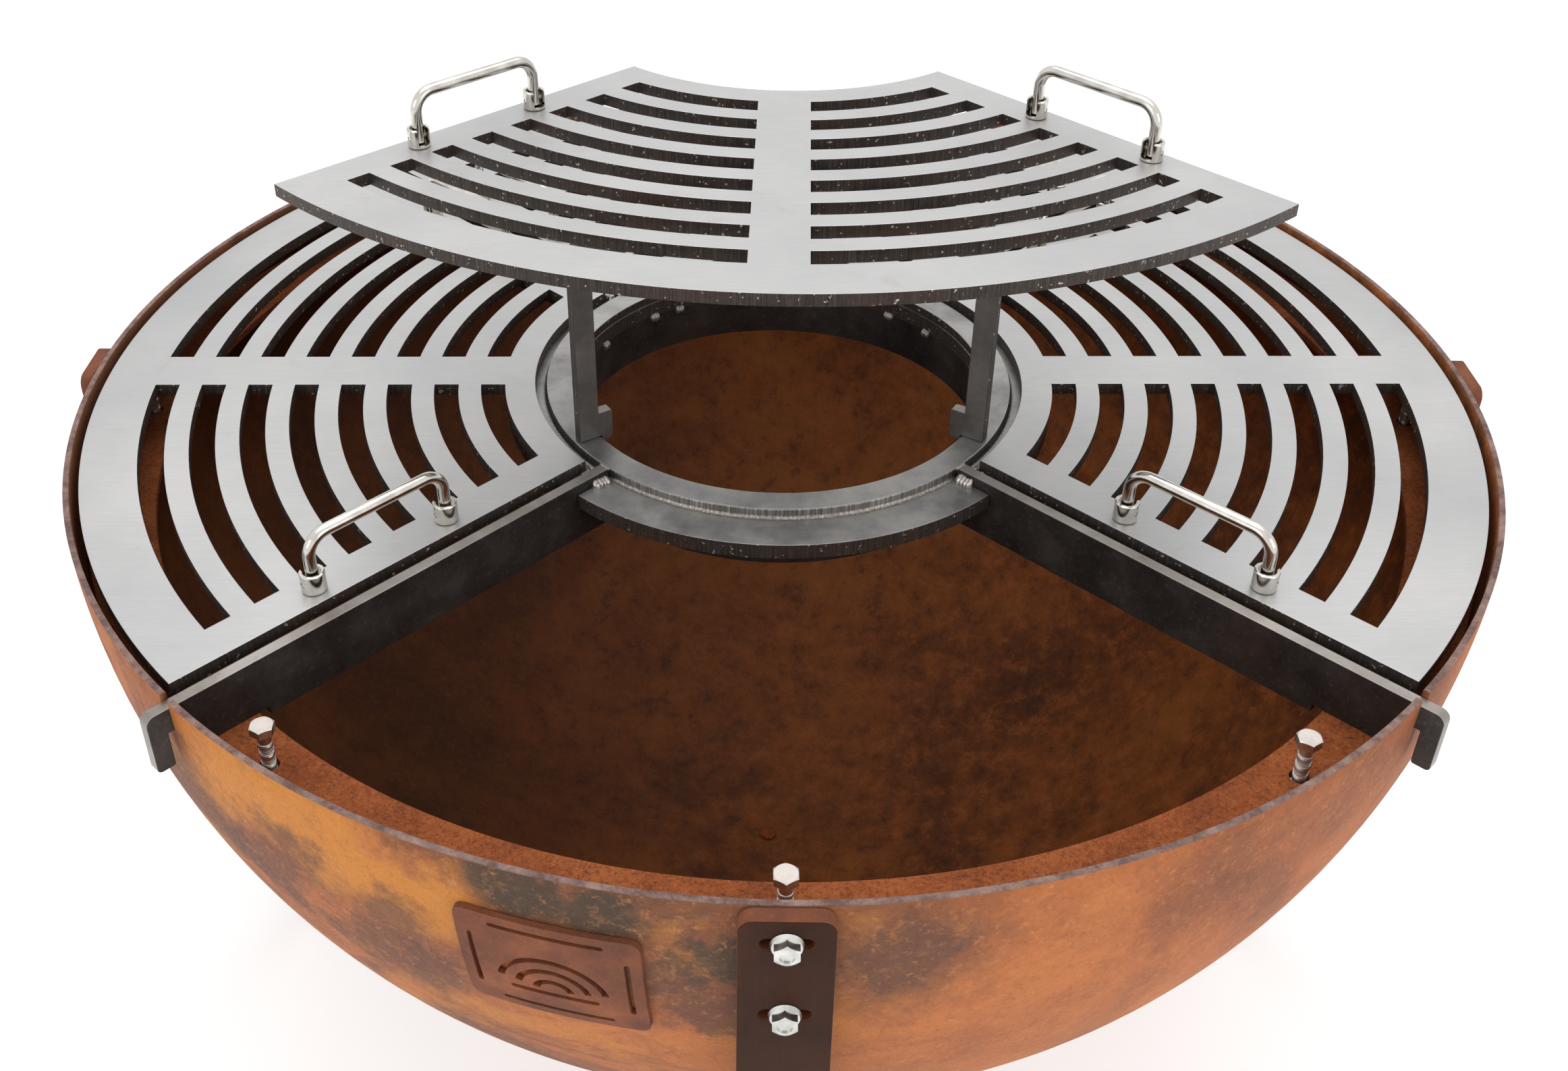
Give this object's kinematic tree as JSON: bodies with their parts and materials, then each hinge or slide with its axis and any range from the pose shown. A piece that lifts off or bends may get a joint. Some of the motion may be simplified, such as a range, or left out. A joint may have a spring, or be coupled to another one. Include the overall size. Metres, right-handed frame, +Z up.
{
  "type": "fire pit with grate",
  "caption": "Hemispherical steel fire bowl on flat-bar legs, with an open centre ring on arms, lift-out slotted sector grates with folding handles, and a stand for a raised grate.",
  "frame": {"origin": "on the ground, on the axis of the bowl, in the middle of the bounding box", "axes": "+Z up, -Y towards the open sector at the front, +X to the right of someone facing the open sector"},
  "size_m": [1.0344, 1.0344, 0.7825],
  "materials": {
    "rusted_steel": "rough, weathered rust",
    "leg_steel": "satin, dark brown",
    "zinc_bolts": "bright zinc",
    "stainless": "polished",
    "grate_steel": "fine grain, light",
    "ring_steel": "satin, mid grey",
    "mill_scale": "dark mill scale",
    "stand_steel": "dark, heat-marked"
  },
  "bodies": {
    "fire_bowl": {"bowl": "rusted_steel", "bowl_flange": "rusted_steel", "drain_plug": "rusted_steel", "leg_bolt_front_lower": "zinc_bolts", "leg_bolt_front_upper": "zinc_bolts", "leg_bolt_left_lower": "zinc_bolts", "leg_bolt_left_upper": "zinc_bolts", "leg_bolt_rear_lower": "zinc_bolts", "leg_bolt_rear_upper": "zinc_bolts", "leg_bolt_right_lower": "zinc_bolts", "leg_bolt_right_upper": "zinc_bolts", "leg_front": "leg_steel", "leg_left": "leg_steel", "leg_rear": "leg_steel", "leg_right": "leg_steel", "plaque": "rusted_steel"},
    "centre_ring_and_arms": {"arm_front_left": "mill_scale", "arm_front_right": "mill_scale", "arm_rear_left": "mill_scale", "arm_rear_right": "mill_scale", "collar": "mill_scale", "shelf_ring": "ring_steel", "top_ring": "ring_steel"},
    "stand": {"stand_hub": "stand_steel", "stand_leg_front_left": "stand_steel", "stand_leg_front_right": "stand_steel", "stand_leg_rear": "stand_steel"},
    "left_grate_left_handle": {"left_grate_left_handle_rod": "stainless"},
    "left_grate": {"left_grate_left_inner_socket": "mill_scale", "left_grate_left_outer_socket": "mill_scale", "left_grate_plate": "grate_steel", "left_grate_right_inner_socket": "mill_scale", "left_grate_right_outer_socket": "mill_scale"},
    "left_grate_right_handle": {"left_grate_right_handle_rod": "stainless"},
    "levelling_bolt_left": {"levelling_bolt_left": "stainless"},
    "levelling_bolt_middle": {"levelling_bolt_middle": "stainless"},
    "levelling_bolt_right": {"levelling_bolt_right": "stainless"},
    "raised_grate_left_handle": {"raised_grate_left_handle_rod": "stainless"},
    "raised_grate": {"raised_grate_left_inner_socket": "mill_scale", "raised_grate_left_outer_socket": "mill_scale", "raised_grate_plate": "grate_steel", "raised_grate_right_inner_socket": "mill_scale", "raised_grate_right_outer_socket": "mill_scale"},
    "raised_grate_right_handle": {"raised_grate_right_handle_rod": "stainless"},
    "rear_grate_left_handle": {"rear_grate_left_handle_rod": "stainless"},
    "rear_grate": {"rear_grate_left_inner_socket": "mill_scale", "rear_grate_left_outer_socket": "mill_scale", "rear_grate_plate": "grate_steel", "rear_grate_right_inner_socket": "mill_scale", "rear_grate_right_outer_socket": "mill_scale"},
    "rear_grate_right_handle": {"rear_grate_right_handle_rod": "stainless"},
    "right_grate_left_handle": {"right_grate_left_handle_rod": "stainless"},
    "right_grate": {"right_grate_left_inner_socket": "mill_scale", "right_grate_left_outer_socket": "mill_scale", "right_grate_plate": "grate_steel", "right_grate_right_inner_socket": "mill_scale", "right_grate_right_outer_socket": "mill_scale"},
    "right_grate_right_handle": {"right_grate_right_handle_rod": "stainless"}
  },
  "joints": [
    {"name": "centre_ring_lift", "type": "slide", "parent": "fire_bowl", "child": "centre_ring_and_arms", "axis": [0, 0, 1], "range_m": [0, 0.1]},
    {"name": "left_grate_lift", "type": "slide", "parent": "centre_ring_and_arms", "child": "left_grate", "axis": [0, 0, 1], "range_m": [0, 0.1]},
    {"name": "right_grate_lift", "type": "slide", "parent": "centre_ring_and_arms", "child": "right_grate", "axis": [0, 0, 1], "range_m": [0, 0.1]},
    {"name": "rear_grate_lift", "type": "slide", "parent": "centre_ring_and_arms", "child": "rear_grate", "axis": [0, 0, 1], "range_m": [0, 0.1]},
    {"name": "stand_lift", "type": "slide", "parent": "centre_ring_and_arms", "child": "stand", "axis": [0, 0, 1], "range_m": [0, 0.2]},
    {"name": "raised_grate_lift", "type": "slide", "parent": "stand", "child": "raised_grate", "axis": [0, 0, 1], "range_m": [0, 0.2]},
    {"name": "right_grate_left_handle_fold", "type": "hinge", "parent": "right_grate", "child": "right_grate_left_handle", "pos_m": [0.25442, -0.21793, 0.584], "axis": [-0.7071, 0.7071, 0], "range_deg": [0, 90]},
    {"name": "right_grate_right_handle_fold", "type": "hinge", "parent": "right_grate", "child": "right_grate_right_handle", "pos_m": [0.25442, 0.21793, 0.584], "axis": [0.7071, 0.7071, 0], "range_deg": [0, 90]},
    {"name": "rear_grate_left_handle_fold", "type": "hinge", "parent": "rear_grate", "child": "rear_grate_left_handle", "pos_m": [0.21793, 0.25442, 0.584], "axis": [-0.7071, -0.7071, 0], "range_deg": [0, 90]},
    {"name": "rear_grate_right_handle_fold", "type": "hinge", "parent": "rear_grate", "child": "rear_grate_right_handle", "pos_m": [-0.21793, 0.25442, 0.584], "axis": [-0.7071, 0.7071, 0], "range_deg": [0, 90]},
    {"name": "left_grate_left_handle_fold", "type": "hinge", "parent": "left_grate", "child": "left_grate_left_handle", "pos_m": [-0.25442, 0.21793, 0.584], "axis": [0.7071, -0.7071, 0], "range_deg": [0, 90]},
    {"name": "left_grate_right_handle_fold", "type": "hinge", "parent": "left_grate", "child": "left_grate_right_handle", "pos_m": [-0.25442, -0.21793, 0.584], "axis": [-0.7071, -0.7071, 0], "range_deg": [0, 90]},
    {"name": "raised_grate_left_handle_fold", "type": "hinge", "parent": "raised_grate", "child": "raised_grate_left_handle", "pos_m": [-0.21505, 0.06673, 0.7475], "axis": [0.7385, 0.6743, 0], "range_deg": [0, 90]},
    {"name": "raised_grate_right_handle_fold", "type": "hinge", "parent": "raised_grate", "child": "raised_grate_right_handle", "pos_m": [0.22036, 0.04696, 0.7475], "axis": [0.6743, -0.7385, 0], "range_deg": [0, 90]},
    {"name": "levelling_bolt_left_screw", "type": "slide", "parent": "fire_bowl", "child": "levelling_bolt_left", "axis": [0, 0, 1], "range_m": [-0.015, 0.008]},
    {"name": "levelling_bolt_middle_screw", "type": "slide", "parent": "fire_bowl", "child": "levelling_bolt_middle", "axis": [0, 0, 1], "range_m": [-0.015, 0.008]},
    {"name": "levelling_bolt_right_screw", "type": "slide", "parent": "fire_bowl", "child": "levelling_bolt_right", "axis": [0, 0, 1], "range_m": [-0.015, 0.008]}
  ]
}
